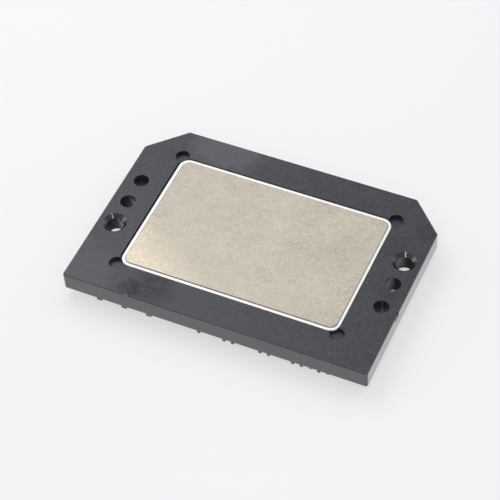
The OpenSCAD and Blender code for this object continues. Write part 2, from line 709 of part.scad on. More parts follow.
// The slot that each row of wires leaves in the gel
module bond_slots(bonds, d) {
    for (bond = bonds) let (
        from = bond[0] - [0, 0, d / 2],
        to = bond[1] - [0, 0, d / 2],
        row = (bond[2] - 1) * bond[3],
        slot = [d + 2 * wire_room, row + d + 2 * wire_room]
    ) {
        loop_frame(from, to, wire_rise)
            rotate_extrude(angle = 2 * loop_half_angle(from, to, wire_rise), $fn = 72)
                translate([loop_radius(from, to, wire_rise), 0]) square(slot, center = true);
        for (foot = [from, to]) translate([0, 0, EPS]) feet(foot, wire_turn(bond), d, row, wire_room);
    }
}

module power_wires() {
    color("#d5d6d8") bond_wires(POWER_BONDS, power_wire_d);
}

module signal_wires() {
    color("#d5d6d8") bond_wires(SIGNAL_BONDS, signal_wire_d);
}

// The clear gel that covers the circuit, cut back round all that it buries
module silicone_gel() {
    color("#e8ecea", 0.5) difference() {
        in_window() {
            rounded_box(ledge_half, cavity_corner_radius, shelf_z, tile_z);
            rounded_box(cavity_half, cavity_corner_radius, gel_z, shelf_z);
        }
        circuit_metal();
        chip_solder();
        for (c = CHIPS) chip(c[0], c[1]);
        thermistor();
        bond_slots(POWER_BONDS, power_wire_d);
        bond_slots(SIGNAL_BONDS, signal_wire_d);
    }
}

// ---- Terminals ----

// Side view of a terminal's outer end, outwards along X: strip, bend and pin
module bend_section(terminal) {
    face = pin_face(terminal);
    centre = [face - strip_thickness - bend_radius, shelf_z - bend_radius];
    intersection() {
        difference() {
            translate(centre) circle(bend_radius + strip_thickness);
            translate(centre) circle(bend_radius);
        }
        translate(centre) square(bend_radius + strip_thickness);
    }
    polygon([
        [face - strip_thickness, centre.y], [face - strip_thickness, pin_tip_chamfer],
        [face - strip_thickness + pin_tip_chamfer, 0], [face - pin_tip_chamfer, 0],
        [face, pin_tip_chamfer], [face, centre.y]
    ]);
}

// Front view of a pin, with its chamfered tip
module pin_front(terminal) {
    half = pin_width(terminal) / 2;
    top = shelf_z + strip_thickness + 1;
    translate([pin_x(terminal), 0]) polygon([
        [-half, top], [-half, pin_tip_chamfer], [pin_tip_chamfer - half, 0],
        [half - pin_tip_chamfer, 0], [half, pin_tip_chamfer], [half, top]
    ]);
}

// One stamped and bent terminal, outwards along +Y
module terminal(t) {
    turn = pin_face(t) - strip_thickness - bend_radius;
    color("#b9bcc0") {
        translate([0, 0, shelf_z]) linear_extrude(strip_thickness) strip_plan(t, turn);
        intersection() {
            translate([pin_x(t) + pin_width(t) / 2, 0, 0]) rotate([90, 0, -90]) mirror([1, 0, 0])
                linear_extrude(pin_width(t)) bend_section(t);
            translate([0, pin_face(t) + 1, 0]) rotate([90, 0, 0])
                linear_extrude(strip_thickness + bend_radius + 2) pin_front(t);
        }
    }
}

frame();
lid();
ceramic_tile();
cooling_metal();
adhesive_seal();
silicone_gel();
plus_bus();
rectified_plus_island();
minus_strip();
line_islands();
brake_island();
minus_islands();
gate_islands();
thermistor_lands();
for (k = [0:2]) phase_island(k);
for (k = [0:2]) igbt(upper_igbt_at(k));
for (k = [0:2]) igbt(lower_igbt_at(k));
igbt(brake_igbt_at);  // brake_igbt
color("#5b6470") chip(brake_diode_at, TURNED_DIODE);  // brake_diode
freewheel_diodes();
rectifier_diodes();
thermistor();
chip_solder();
power_wires();
signal_wires();
for (t = REAR_TERMINALS) terminal(t);
for (t = FRONT_TERMINALS) mirror([0, 1, 0]) terminal(t);
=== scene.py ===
"""Looks of a flat bridge module that lies on its pins with the cooling face up."""

import json
import logging
import math
from dataclasses import dataclass
from enum import Enum
from typing import Any, Iterable, Union

import bpy
from mathutils import Matrix, Vector


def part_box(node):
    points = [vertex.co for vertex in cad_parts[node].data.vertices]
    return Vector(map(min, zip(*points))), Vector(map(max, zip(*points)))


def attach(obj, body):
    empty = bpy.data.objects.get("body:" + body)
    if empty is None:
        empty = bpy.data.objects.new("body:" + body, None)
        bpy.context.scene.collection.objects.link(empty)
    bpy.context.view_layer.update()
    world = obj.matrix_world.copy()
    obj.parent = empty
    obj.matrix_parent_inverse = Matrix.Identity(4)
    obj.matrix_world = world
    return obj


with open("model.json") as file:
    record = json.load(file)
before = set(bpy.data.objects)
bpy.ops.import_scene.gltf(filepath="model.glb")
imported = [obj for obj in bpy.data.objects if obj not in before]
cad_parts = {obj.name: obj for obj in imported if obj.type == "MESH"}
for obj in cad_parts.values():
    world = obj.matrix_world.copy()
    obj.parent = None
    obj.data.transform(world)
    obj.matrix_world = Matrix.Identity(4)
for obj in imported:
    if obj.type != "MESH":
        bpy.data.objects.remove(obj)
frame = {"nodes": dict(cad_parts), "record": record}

LOG = logging.getLogger("module")
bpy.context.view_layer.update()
MM = 0.001
MIDDLE = 0.5  # Of a noise and of a colour ramp.
WALL = (0.8, 0.97)  # A face is a wall below the first slope and level above the second.
PLASTIC_IOR = 1.41
Colour = tuple[float, float, float]
Place = tuple[float, float, float]
Step = tuple[float, float]


class Slot(Enum):
    """The record's material slots."""

    FRAME = "moulded_frame"
    LID = "lid_moulding"
    CERAMIC = "white_ceramic"
    NICKEL = "nickel_plate"
    ADHESIVE = "adhesive"
    GEL = "clear_gel"
    COPPER = "bare_copper"
    SILICON = "silicon"
    SOLDER = "solder"
    THERMISTOR = "thermistor_body"
    WIRE = "aluminium_wire"
    TERMINAL = "tinned_terminal"


class Axis(Enum):
    """The axes of the shared frame."""

    X = 0
    Y = 1
    Z = 2


# ---- Shader graphs ----


class Value:
    """A number that varies over a surface. Arithmetic on it adds Math nodes."""

    def __init__(self, graph: "Graph", socket: bpy.types.NodeSocket) -> None:
        """Wraps a socket.

        Args:
            graph: The graph that the socket belongs to.
            socket: The output socket that gives the number.
        """
        self.graph = graph
        self.socket = socket

    def __add__(self, other: "Number") -> "Value":
        """self + other."""
        return self.graph.math("ADD", self, other)

    __radd__ = __add__

    def __sub__(self, other: "Number") -> "Value":
        """self - other."""
        return self.graph.math("SUBTRACT", self, other)

    def __rsub__(self, other: "Number") -> "Value":
        """other - self."""
        return self.graph.math("SUBTRACT", other, self)

    def __mul__(self, other: "Number") -> "Value":
        """self * other."""
        return self.graph.math("MULTIPLY", self, other)

    __rmul__ = __mul__

    def __truediv__(self, other: "Number") -> "Value":
        """self / other."""
        return self.graph.math("DIVIDE", self, other)

    def __rtruediv__(self, other: "Number") -> "Value":
        """other / self."""
        return self.graph.math("DIVIDE", other, self)

    def above(self, low: float, high: float) -> "Value":
        """A smooth step upwards.

        Args:
            low: Where it starts.
            high: Where it ends.

        Returns:
            0 below low, 1 above high.
        """
        settings = {"data_type": "FLOAT", "interpolation_type": "SMOOTHSTEP", "clamp": True}
        inputs = {"Value": self, "From Min": low, "From Max": high, "To Min": 0.0, "To Max": 1.0}
        step = self.graph.node("ShaderNodeMapRange", settings, inputs)
        return Value(self.graph, step.outputs["Result"])

    def below(self, low: float, high: float) -> "Value":
        """A smooth step downwards: 1 below low, 0 above high."""
        return 1 - self.above(low, high)


Number = Union[Value, float, int]


def sway(base: float, *parts: tuple[Value, float]) -> Value:
    """A number that noises push up and down.

    Args:
        base: Where it lies when every noise is in its middle.
        *parts: Each noise, and how far it pushes.

    Returns:
        The number.
    """
    first, *rest = [(noise - MIDDLE) * weight for noise, weight in parts]
    return sum(rest, first) + base


class Graph:
    """The node graph of one material or world, with its shader and its output."""

    def __init__(self, name: str, world: bool = False) -> None:
        """Starts an empty material or world.

        Args:
            name: Its name.
            world: Whether it is a world, whose places are directions.
        """
        self.owner = (bpy.data.worlds if world else bpy.data.materials).new(name)
        self.owner.use_nodes = True
        self.tree = self.owner.node_tree
        self.tree.nodes.clear()
        self.place = self.node("ShaderNodeTexCoord").outputs["Generated" if world else "Object"]

    def node(
        self, kind: str, settings: dict[str, Any] | None = None, inputs: dict[str, Any] | None = None,
    ) -> Any:
        """Adds one node.

        Args:
            kind: The node's type.
            settings: Its properties. "stops" gives a ramp's stops as (position, colour).
            inputs: What its sockets get, by name or number: a value, a Value or an output socket.

        Returns:
            The new node.
        """
        made = self.tree.nodes.new(kind)
        for key, setting in (settings or {}).items():
            if key == "stops":
                self._set_stops(made, setting)
            else:
                setattr(made, key, setting)
        for key, given in (inputs or {}).items():
            socket = made.inputs[key]
            if isinstance(given, Value):
                self.tree.links.new(given.socket, socket)
            elif isinstance(given, bpy.types.NodeSocket):
                self.tree.links.new(given, socket)
            elif socket.type == "RGBA":
                socket.default_value = (*given, 1.0)
            else:
                socket.default_value = given
        return made

    @staticmethod
    def _set_stops(ramp: Any, stops: Iterable[tuple[float, Colour]]) -> None:
        """Gives a ramp its stops.

        Args:
            ramp: The ramp's node.
            stops: Two stops at least, as (position, colour).
        """
        elements = ramp.color_ramp.elements
        for i, (position, colour) in enumerate(stops):
            element = elements[i] if i < len(elements) else elements.new(position)
            element.position = position
            element.color = (*colour, 1.0)

    def math(self, operation: str, a: Number, b: Number = 0.0) -> Value:
        """One Math node.

        Args:
            operation: The node's operation.
            a: Its first number.
            b: Its second number.

        Returns:
            The result.
        """
        return Value(self, self.node("ShaderNodeMath", {"operation": operation}, {0: a, 1: b}).outputs[0])

    def noise(
        self, size: float, detail: float = 3.0, stretch: Place = (1.0, 1.0, 1.0), seed: float = 0.0,
    ) -> Value:
        """Cloudy noise around its middle of 0.5.

        Args:
            size: The size of its clouds, in metres.
            detail: How many finer octaves it has.
            stretch: How many times its clouds are squeezed along each axis.
            seed: Moves the pattern, in metres.

        Returns:
            The noise, mostly between 0.25 and 0.75.
        """
        mapping = {"Vector": self.place, "Location": (seed,) * 3, "Scale": stretch}
        at = self.node("ShaderNodeMapping", None, mapping)
        inputs = {"Vector": at.outputs[0], "Scale": 1.0 / size, "Detail": detail}
        return Value(self, self.node("ShaderNodeTexNoise", None, inputs).outputs["Fac"])

    def specks(self, size: float, spread: Step, rare: Step, seed: float = 0.0) -> Value:
        """Specks in some of a pattern's cells.

        Args:
            size: The size of a cell, in metres.
            spread: How far from its cell's point a speck starts to fade and ends, in cells.
            rare: The random numbers from which on a cell's speck starts to show and shows in full.
            seed: Moves the pattern, in metres.

        Returns:
            1 in a speck, 0 outside.
        """
        at = self.node("ShaderNodeMapping", None, {"Vector": self.place, "Location": (seed,) * 3})
        cells = self.node("ShaderNodeTexVoronoi", None, {"Vector": at.outputs[0], "Scale": 1.0 / size})
        tint = self.node("ShaderNodeSeparateColor", None, {"Color": cells.outputs["Color"]})
        distance = Value(self, cells.outputs["Distance"])
        return distance.below(*spread) * Value(self, tint.outputs[0]).above(*rare)

    def spot(self, centre: Place, radius: float, ragged: float) -> Value:
        """A soft round mask.

        Args:
            centre: Its middle.
            radius: Where it fades out, in metres.
            ragged: How far noise pushes its edge in and out, as a share of the radius.

        Returns:
            1 in the middle, 0 from the radius outwards.
        """
        offset = self.node("ShaderNodeVectorMath", {"operation": "SUBTRACT"}, {0: self.place, 1: centre})
        length = self.node("ShaderNodeVectorMath", {"operation": "LENGTH"}, {0: offset.outputs[0]})
        far = Value(self, length.outputs["Value"]) / radius
        far = far + (self.noise(radius / 2, 4.0) - MIDDLE) * (2 * ragged)
        return far.below(0.35, 1.0)

    def axis(self, axis: Axis) -> Value:
        """The place along one axis, in metres."""
        split = self.node("ShaderNodeSeparateXYZ", None, {"Vector": self.place})
        return Value(self, split.outputs[axis.value])

    def facing(self, axis: Axis) -> Value:
        """How far the surface faces along one axis.

        Args:
            axis: The axis.

        Returns:
            A number from -1 to 1.
        """
        normal = self.node("ShaderNodeTexCoord").outputs["Normal"]
        split = self.node("ShaderNodeSeparateXYZ", None, {"Vector": normal})
        return Value(self, split.outputs[axis.value])

    def slope(self, direction: tuple[float, float], reach: float = 1.0) -> Value:
        """How far a place lies in a level direction.

        Args:
            direction: The direction, along X and Y.
            reach: The distance that counts as 1, in metres.

        Returns:
            The distance, in reaches.
        """
        x, y = direction
        return (self.axis(Axis.X) * x + self.axis(Axis.Y) * y) / reach

    def ramp(self, value: Value, *stops: tuple[float, Colour]) -> Any:
        """A colour picked by a number, from stops given as (position, colour)."""
        return self.node("ShaderNodeValToRGB", {"stops": stops}, {"Fac": value}).outputs["Color"]

    def mix(self, factor: Number, a: Any, b: Any, blend: str = "MIX") -> Any:
        """Mixes two colours.

        Args:
            factor: How much of b there is.
            a: The first colour.
            b: The second colour.
            blend: How they are mixed.

        Returns:
            The mixed colour's socket.
        """
        settings = {"data_type": "RGBA", "blend_type": blend, "clamp_factor": True}
        return self.node("ShaderNodeMix", settings, {0: factor, 6: a, 7: b}).outputs[2]

    def bump(self, height: Value, distance: float) -> Any:
        """A bumped normal.

        Args:
            height: The height, from 0 to 1.
            distance: What a height of 1 is, in metres.

        Returns:
            The normal's socket.
        """
        inputs = {"Height": height, "Distance": distance, "Strength": 1.0}
        return self.node("ShaderNodeBump", None, inputs).outputs["Normal"]

    def finish(self, **sockets: Any) -> bpy.types.Material:
        """Ends the graph with one shader.

        Args:
            **sockets: What the shader's sockets get, with _ for a space.

        Returns:
            The material.
        """
        inputs = {key.replace("_", " "): given for key, given in sockets.items()}
        shader = self.node("ShaderNodeBsdfPrincipled", None, inputs)
        self.node("ShaderNodeOutputMaterial", None, {"Surface": shader.outputs[0]})
        return self.owner


# ---- Finishes ----


@dataclass(frozen=True)
class MouldedPlastic:
    """Black moulded plastic: a mottled, spark-eroded grain on top, and polish on the sides and in the holes.

    Attributes:
        name: The material's name.
        dark: The darkest tone of the grain, and the tone of stains.
        light: The lightest tone of the grain.
        lifted_wall_tone: The tone of the walls, raised as painted light so that walls in shade read lighter.
        dust_and_floor_light: The tone of the dust specks, and of the painted light that makes the holes'
            floors lighter.
        scuff_and_sheen: The tone of rubbed places and of the painted sheen spots.
        roughness: The grain's roughness.
        polish: The roughness of walls and holes.
        coat: How much gloss lies on walls and holes.
        coat_roughness: The roughness of that gloss.
        grain: The size of the grain.
        grain_depth: The depth of the grain.
        mottle: The size of the mottling.
        cloud: The size of the clouds.
        speck: The size of a cell that can hold a speck.
        grained: The height from which on level faces are grained. Below it they are the holes' floors.
        fade: The height over which the one becomes the other.
        specks_show: How strong the specks are.
        walls_show: How far the walls take the raised wall tone.
        floor_light_shows: How far the holes' floors take that tone, a painted light that makes them lighter.
        floors_polished: How polished those floors are, beside the walls.
        grain_lost: How much of the grain's depth polish takes away.
        stains_show: How strong the stains are.
        stains_dull: How much rougher the stains are.
        scuff_and_sheen_dull: How much rougher rubbed places and sheen spots are.
        stains: The centre and the radius of each stain.
        scuffs_and_sheen: The centre, the radius and the strength of each rubbed place, and of each large
            spot of painted sheen.
    """

    name: str = "moulded_plastic"
    dark: Colour = (0.012, 0.012, 0.018)
    light: Colour = (0.046, 0.047, 0.056)
    lifted_wall_tone: Colour = (0.026, 0.023, 0.034)
    dust_and_floor_light: Colour = (0.20, 0.20, 0.19)
    scuff_and_sheen: Colour = (0.30, 0.30, 0.32)
    roughness: float = 0.42
    polish: float = 0.2
    coat: float = 0.92
    coat_roughness: float = 0.15
    grain: float = 0.5 * MM
    grain_depth: float = 0.03 * MM
    mottle: float = 1.6 * MM
    cloud: float = 9 * MM
    speck: float = 0.9 * MM
    grained: float = 8 * MM
    fade: float = 0.1 * MM
    specks_show: float = 0.55
    walls_show: float = 0.8
    floor_light_shows: float = 0.25
    floors_polished: float = 0.85
    grain_lost: float = 0.9
    stains_show: float = 0.45
    stains_dull: float = 0.2
    scuff_and_sheen_dull: float = 0.4
    stains: tuple[tuple[Place, float], ...] = ()
    scuffs_and_sheen: tuple[tuple[Place, float, float], ...] = ()

    def build(self) -> bpy.types.Material:
        """Makes the material.

        Returns:
            The material.
        """
        graph = Graph(self.name)
        fine = graph.noise(self.grain, 2.0)
        cloud = graph.noise(self.cloud, 4.0)
        mottle = graph.noise(self.mottle, 3.0, seed=0.1)
        tone = sway(MIDDLE, (fine, 1.6), (cloud, 0.8), (mottle, 1.2))
        colour = graph.ramp(tone, (0.0, self.dark), (1.0, self.light))
        specks = graph.specks(self.speck, spread=(0.1, 0.2), rare=(0.93, 0.95))
        colour = graph.mix(specks * self.specks_show, colour, self.dust_and_floor_light)
        shine = sway(self.roughness, (cloud, 0.16), (mottle, 0.14), (fine, 0.2))
        for centre, radius in self.stains:
            stain = graph.spot(centre, radius, ragged=0.5) * mottle.above(0.1, 0.75)
            colour = graph.mix(stain * self.stains_show, colour, self.dark)
            shine = shine + stain * self.stains_dull
        # Rubbed places, and large soft spots of painted sheen: each makes the colour paler and the surface
        # rougher.
        for centre, radius, amount in self.scuffs_and_sheen:
            scuff_and_sheen = graph.spot(centre, radius, ragged=0.6) * amount
            colour = graph.mix(scuff_and_sheen, colour, self.scuff_and_sheen)
            shine = shine + scuff_and_sheen * self.scuff_and_sheen_dull
        walls = graph.math("ABSOLUTE", graph.facing(Axis.Z)).below(*WALL)
        low = graph.axis(Axis.Z).below(self.grained - self.fade, self.grained)
        floors = low * graph.facing(Axis.Z).above(*WALL)
        # Painted light: the walls take a raised tone, so that walls in shade read lighter.
        colour = graph.mix(walls * self.walls_show, colour, self.lifted_wall_tone)
        # Painted light: the holes' floors are made lighter with the pale tone of the specks.
        colour = graph.mix(floors * self.floor_light_shows, colour, self.dust_and_floor_light)
        polished = walls + floors * self.floors_polished
        shine = shine + polished * (self.polish - self.roughness)
        height = (fine + mottle * 0.5) * (1 - polished * self.grain_lost)
        normal = graph.bump(height, self.grain_depth)
        return graph.finish(
            Base_Color=colour, Roughness=shine, Coat_Weight=polished * self.coat,
            Coat_Roughness=self.coat_roughness, Normal=normal, IOR=PLASTIC_IOR,
        )


@dataclass(frozen=True)
class NickelPlate:
    """Matt nickel on rolled copper: champagne grey, with a sparkling grain, soft clouds and rubs.

    Attributes:
        name: The material's name.
        deep: The darkest tone of the grain.
        pale: The lightest tone of the grain.
        warm_sheen: The tone of the warm corner, a warm tint with a painted sheen, and of half the glints.
        rose: The tone of the other glints.
        painted_shade: What the colour is multiplied by at the darker end, a painted shade that evens out the
            lamps' light.
        metallic: How metallic it is.
        roughness: Its roughness.
        grain: The size of the grain.
        grain_depth: The depth of the grain.
        cloud: The size of the clouds.
        rub: The size of the rubs.
        glint: The size of a cell that can hold a glint.
        reach: How far the ends lie from the middle.
        shade_fades: The level direction in which the painted shade fades out.
        corner: The level direction of the warm corner, which is lighter with a painted sheen.
        corner_shows: How far the corner takes the warm tone with its painted sheen.
        glints_show: How strong the glints are.
        corner_glints: How much stronger they are in the corner.
    """

    name: str = "matt_nickel"
    deep: Colour = (0.288, 0.262, 0.211)
    pale: Colour = (0.531, 0.486, 0.406)
    warm_sheen: Colour = (0.62, 0.53, 0.39)
    rose: Colour = (0.66, 0.51, 0.46)
    painted_shade: Colour = (0.665, 0.66, 0.69)
    metallic: float = 0.85
    roughness: float = 0.42
    grain: float = 0.45 * MM
    grain_depth: float = 0.012 * MM
    cloud: float = 14 * MM
    rub: float = 3 * MM
    glint: float = 0.8 * MM
    reach: float = 38 * MM
    shade_fades: tuple[float, float] = (0.7, 0.55)
    corner: tuple[float, float] = (-0.7, -1.0)
    corner_shows: float = 0.36
    glints_show: float = 0.12
    corner_glints: float = 0.55

    def build(self) -> bpy.types.Material:
        """Makes the material.

        Returns:
            The material.
        """
        graph = Graph(self.name)
        grain = graph.noise(self.grain, 2.0)
        cloud = graph.noise(self.cloud, 3.0, seed=0.2)
        rub = graph.noise(self.rub, 4.0, stretch=(1.0, 2.2, 1.0), seed=0.3)
        tone = sway(MIDDLE, (grain, 1.5), (cloud, 0.6), (rub, 0.5))
        colour = graph.ramp(tone, (0.0, self.deep), (1.0, self.pale))
        # Painted shade: the colour is darker towards the left front, to even out the lamps' light.
        shaded = graph.mix(1.0, colour, self.painted_shade, "MULTIPLY")
        colour = graph.mix(0.5 - graph.slope(self.shade_fades, self.reach) * 0.5, colour, shaded)
        # The left-front corner is warmer and lighter: a warm tint, and a painted sheen.
        corner = graph.slope(self.corner, self.reach).above(0.6, 1.3)
        colour = graph.mix(corner * self.corner_shows, colour, self.warm_sheen)
        for seed, tint in ((0.0, self.warm_sheen), (0.5, self.rose)):
            glints = graph.specks(self.glint, spread=(0.2, 0.45), rare=(0.7, 0.8), seed=seed)
            colour = graph.mix(glints * (corner * self.corner_glints + self.glints_show), colour, tint)
        shine = sway(self.roughness, (cloud, 0.12), (grain, 0.2))
        normal = graph.bump(grain + glints * 0.4, self.grain_depth)
        return graph.finish(Base_Color=colour, Metallic=self.metallic, Roughness=shine, Normal=normal)


@dataclass(frozen=True)
class Alumina:
    """White sintered alumina with a faint grain."""

    name: str = "white_alumina"
    white: Colour = (0.93, 0.93, 0.915)
    grey: Colour = (0.84, 0.84, 0.82)
    roughness: float = 0.35
    grain: float = 0.4 * MM
    grain_depth: float = 0.004 * MM

    def build(self) -> bpy.types.Material:
        """Makes the material.

        Returns:
            The material.
        """
        graph = Graph(self.name)
        grain = graph.noise(self.grain, 3.0)
        colour = graph.ramp(grain, (0.3, self.grey), (0.6, self.white))
        normal = graph.bump(grain, self.grain_depth)
        return graph.finish(Base_Color=colour, Roughness=sway(self.roughness, (grain, 0.1)), Normal=normal)


@dataclass(frozen=True)
class MetalSurface:
    """Plain worked metal: two tones of cloud, fine drawing lines along one axis and a soft bump.

    Attributes:
        name: The material's name.
        dark: The darkest tone.
        light: The lightest tone.
        roughness: Its roughness.
        cloud: The size of the clouds.
        line: The distance between the lines.
        line_depth: The depth of the lines.
        along: The axis that the lines run along.
        tarnish: The tone of tarnished places.
        tarnished: How strong the tarnish is.
    """

    name: str
    dark: Colour
    light: Colour
    roughness: float = 0.35
    cloud: float = 2 * MM
    line: float = 0.15 * MM
    line_depth: float = 0.003 * MM
    along: Axis = Axis.Y
    tarnish: Colour = (0.2, 0.18, 0.16)
    tarnished: float = 0.2

    def build(self) -> bpy.types.Material:
        """Makes the material.

        Returns:
            The material.
        """
        graph = Graph(self.name)
        stretch = tuple(0.06 if axis is self.along else 1.0 for axis in Axis)
        lines = graph.noise(self.line, 2.0, stretch=stretch)
        cloud = graph.noise(self.cloud, 4.0)
        tone = sway(MIDDLE, (cloud, 1.2), (lines, 0.7))
        colour = graph.ramp(tone, (0.0, self.dark), (1.0, self.light))
        colour = graph.mix(cloud.above(0.52, 0.68) * self.tarnished, colour, self.tarnish)
        shine = sway(self.roughness, (cloud, 0.25))
        normal = graph.bump(lines, self.line_depth)
        return graph.finish(Base_Color=colour, Metallic=1.0, Roughness=shine, Normal=normal)


@dataclass(frozen=True)
class ChipFace:
    """A chip's face: a metal layer over silicon, with the fine stripes of its cells.

    Attributes:
        name: The material's name.
        metal: The tone of the metal.
        silicon: The tone between the stripes.
        metallic: How metallic it is.
        roughness: Its roughness.
        stripe: The distance between the stripes.
        stripe_depth: The depth of the stripes.
        cloud: The size of the clouds.
        unscaled_wave: The length of a wave in the wave texture at a scale of 1.
    """

    name: str = "chip_face"
    metal: Colour = (0.55, 0.56, 0.58)
    silicon: Colour = (0.16, 0.19, 0.25)
    metallic: float = 0.6
    roughness: float = 0.3
    stripe: float = 0.25 * MM
    stripe_depth: float = 0.004 * MM
    cloud: float = 1.2 * MM
    unscaled_wave: float = 0.314

    def build(self) -> bpy.types.Material:
        """Makes the material.

        Returns:
            The material.
        """
        graph = Graph(self.name)
        inputs = {"Vector": graph.place, "Scale": self.unscaled_wave / self.stripe, "Distortion": 0.0}
        wave = graph.node("ShaderNodeTexWave", {"bands_direction": "X"}, inputs)
        stripes = Value(graph, wave.outputs["Fac"]).above(0.2, 0.5)
        cloud = graph.noise(self.cloud, 3.0)
        colour = graph.mix(stripes * 0.6 + cloud * 0.3, self.silicon, self.metal)
        shine = self.roughness + cloud * 0.2
        normal = graph.bump(stripes, self.stripe_depth)
        return graph.finish(Base_Color=colour, Metallic=self.metallic, Roughness=shine, Normal=normal)


@dataclass(frozen=True)
class SoftFiller:
    """Cured silicone, glaze or dried residue: clouds between two tones, and a rippled surface.

    Attributes:
        name: The material's name.
        dark: The darkest tone.
        light: The lightest tone.
        roughness: Its roughness.
        cloud: The size of the clouds.
        ripple: The size of the ripples.
        ripple_depth: The depth of the ripples.
        seen_through: How much its clearest places let through.
    """

    name: str
    dark: Colour
    light: Colour
    roughness: float = 0.2
    cloud: float = 3 * MM
    ripple: float = 0.5 * MM
    ripple_depth: float = 0.02 * MM
    seen_through: float = 0.0

    def build(self) -> bpy.types.Material:
        """Makes the material.

        Returns:
            The material.
        """
        graph = Graph(self.name)
        cloud = graph.noise(self.cloud, 3.0)
        ripple = graph.noise(self.ripple, 2.0, seed=0.4)
        colour = graph.ramp(cloud, (0.3, self.dark), (0.7, self.light))
        normal = graph.bump(cloud + ripple * 0.3, self.ripple_depth)
        sockets = {"Base_Color": colour, "Roughness": sway(self.roughness, (ripple, 0.1)), "Normal": normal}
        if self.seen_through:
            sockets["Alpha"] = 1 - self.seen_through * cloud.above(0.1, 0.5)
        return graph.finish(**sockets, IOR=PLASTIC_IOR)


Finish = Union[MouldedPlastic, NickelPlate, Alumina, MetalSurface, ChipFace, SoftFiller]


# ---- Small pieces ----

MERGED_BELOW = 1e-6
SMOOTHED_BELOW = math.radians(35)


def deselect_all() -> None:
    """Leaves edit mode and clears the selection."""
    if bpy.context.object and bpy.context.object.mode != "OBJECT":
        bpy.ops.object.mode_set(mode="OBJECT")
    bpy.ops.object.select_all(action="DESELECT")


def roughen(
    scale: Place, shake: float, uniform: float, normal: float, seed: int, ease: float, cuts: int = 0,
) -> None:
    """Scales the primitive that was just added and roughens it.

    Args:
        scale: How much it is scaled along each axis.
        shake: How far a point can move, in metres.
        uniform: How alike the moves are.
        normal: How far the moves follow the surface's normals.
        seed: Picks the moves.
        ease: How much the moves are smoothed.
        cuts: How many times each edge is cut before.
    """
    bpy.context.object.scale = scale
    bpy.ops.object.transform_apply(location=False, rotation=False, scale=True)
    bpy.ops.object.mode_set(mode="EDIT")
    bpy.ops.mesh.select_all(action="SELECT")
    if cuts:
        bpy.ops.mesh.subdivide(number_cuts=cuts)
    bpy.ops.transform.vertex_random(offset=shake, uniform=uniform, normal=normal, seed=seed)
    bpy.ops.mesh.vertices_smooth(factor=ease, repeat=1)


def close_piece(name: str, finish: bpy.types.Material) -> None:
    """Ends a piece: its place goes into its mesh, and it rides on the body.

    Args:
        name: The piece's name.
        finish: Its material.
    """
    piece = bpy.context.object
    bpy.ops.object.mode_set(mode="OBJECT")
    piece.name = piece.data.name = name
    bpy.ops.object.transform_apply(location=True, rotation=True, scale=True)
    bpy.ops.object.mode_set(mode="EDIT")
    bpy.ops.mesh.select_all(action="SELECT")
    bpy.ops.mesh.remove_doubles(threshold=MERGED_BELOW)
    bpy.ops.mesh.normals_make_consistent(inside=False)
    bpy.ops.object.mode_set(mode="OBJECT")
    bpy.ops.object.shade_smooth_by_angle(angle=SMOOTHED_BELOW)
    piece.data.materials.clear()
    piece.data.materials.append(finish)
    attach(piece, "root")
    LOG.info("%s: %d faces", name, len(piece.data.polygons))


@dataclass(frozen=True)
class GateStub:
    """The torn stub of plastic that the mould's gate leaves in its recess on the right-hand end.

    Attributes:
        end: Where the frame's end face lies.
        top: Where the frame's top lies.
        along: Where the stub lies along the end.
        width: Its width.
        height: Its height.
        depth: How thick it is.
        recess: How deep its recess is.
        drop: How far its middle lies under the top, in heights.
        shake: How torn it is.
        seed: Picks its tears.
    """

    end: float
    top: float
    along: float = -11.6 * MM
    width: float = 2.0 * MM
    height: float = 0.9 * MM
    depth: float = 0.28 * MM
    recess: float = 0.35 * MM
    drop: float = 0.95
    shake: float = 0.07 * MM
    seed: int = 11

    def build(self, finish: bpy.types.Material) -> None:
        """Models the stub.

        Args:
            finish: Its material.
        """
        deselect_all()
        out = self.end - self.recess + self.depth / 2
        up = self.top - self.height * self.drop
        bpy.ops.mesh.primitive_cube_add(size=1, location=(out, self.along, up))
        scale = (self.depth, self.width, self.height)
        roughen(scale, self.shake, uniform=0.6, normal=0.3, seed=self.seed, ease=0.4, cuts=6)
        close_piece("gate_stub", finish)


@dataclass(frozen=True)
class RimBurrs:
    """Burrs that knocks have raised on the front rim.

    Attributes:
        front: Where the frame's front face lies.
        top: Where the frame's top lies.
        burrs: For each burr its place along the rim, its length and how far it reaches down.
        thickness: How thick they are.
        inset: How far their middle lies behind the front face, in thicknesses.
        shake: How ragged they are.
        seed: Picks their shapes.
    """

    front: float
    top: float
    burrs: tuple[tuple[float, float, float], ...] = (
        (-30.3 * MM, 0.3 * MM, 0.9 * MM),
        (0.5 * MM, 0.3 * MM, 0.4 * MM),
    )
    thickness: float = 0.16 * MM
    inset: float = 0.2
    shake: float = 0.06 * MM
    seed: int = 20

    def build(self, finish: bpy.types.Material) -> None:
        """Models each burr.

        Args:
            finish: Their material.
        """
        for i, (along, length, drop) in enumerate(self.burrs, 1):
            deselect_all()
            place = (along, self.front + self.thickness * self.inset, self.top - drop / 2)
            bpy.ops.mesh.primitive_cube_add(size=1, location=place)
            scale = (length, self.thickness, drop)
            roughen(scale, self.shake, uniform=0.5, normal=0.4, seed=self.seed + i, ease=0.4, cuts=4)
            close_piece(f"rim_burr_{i}", finish)


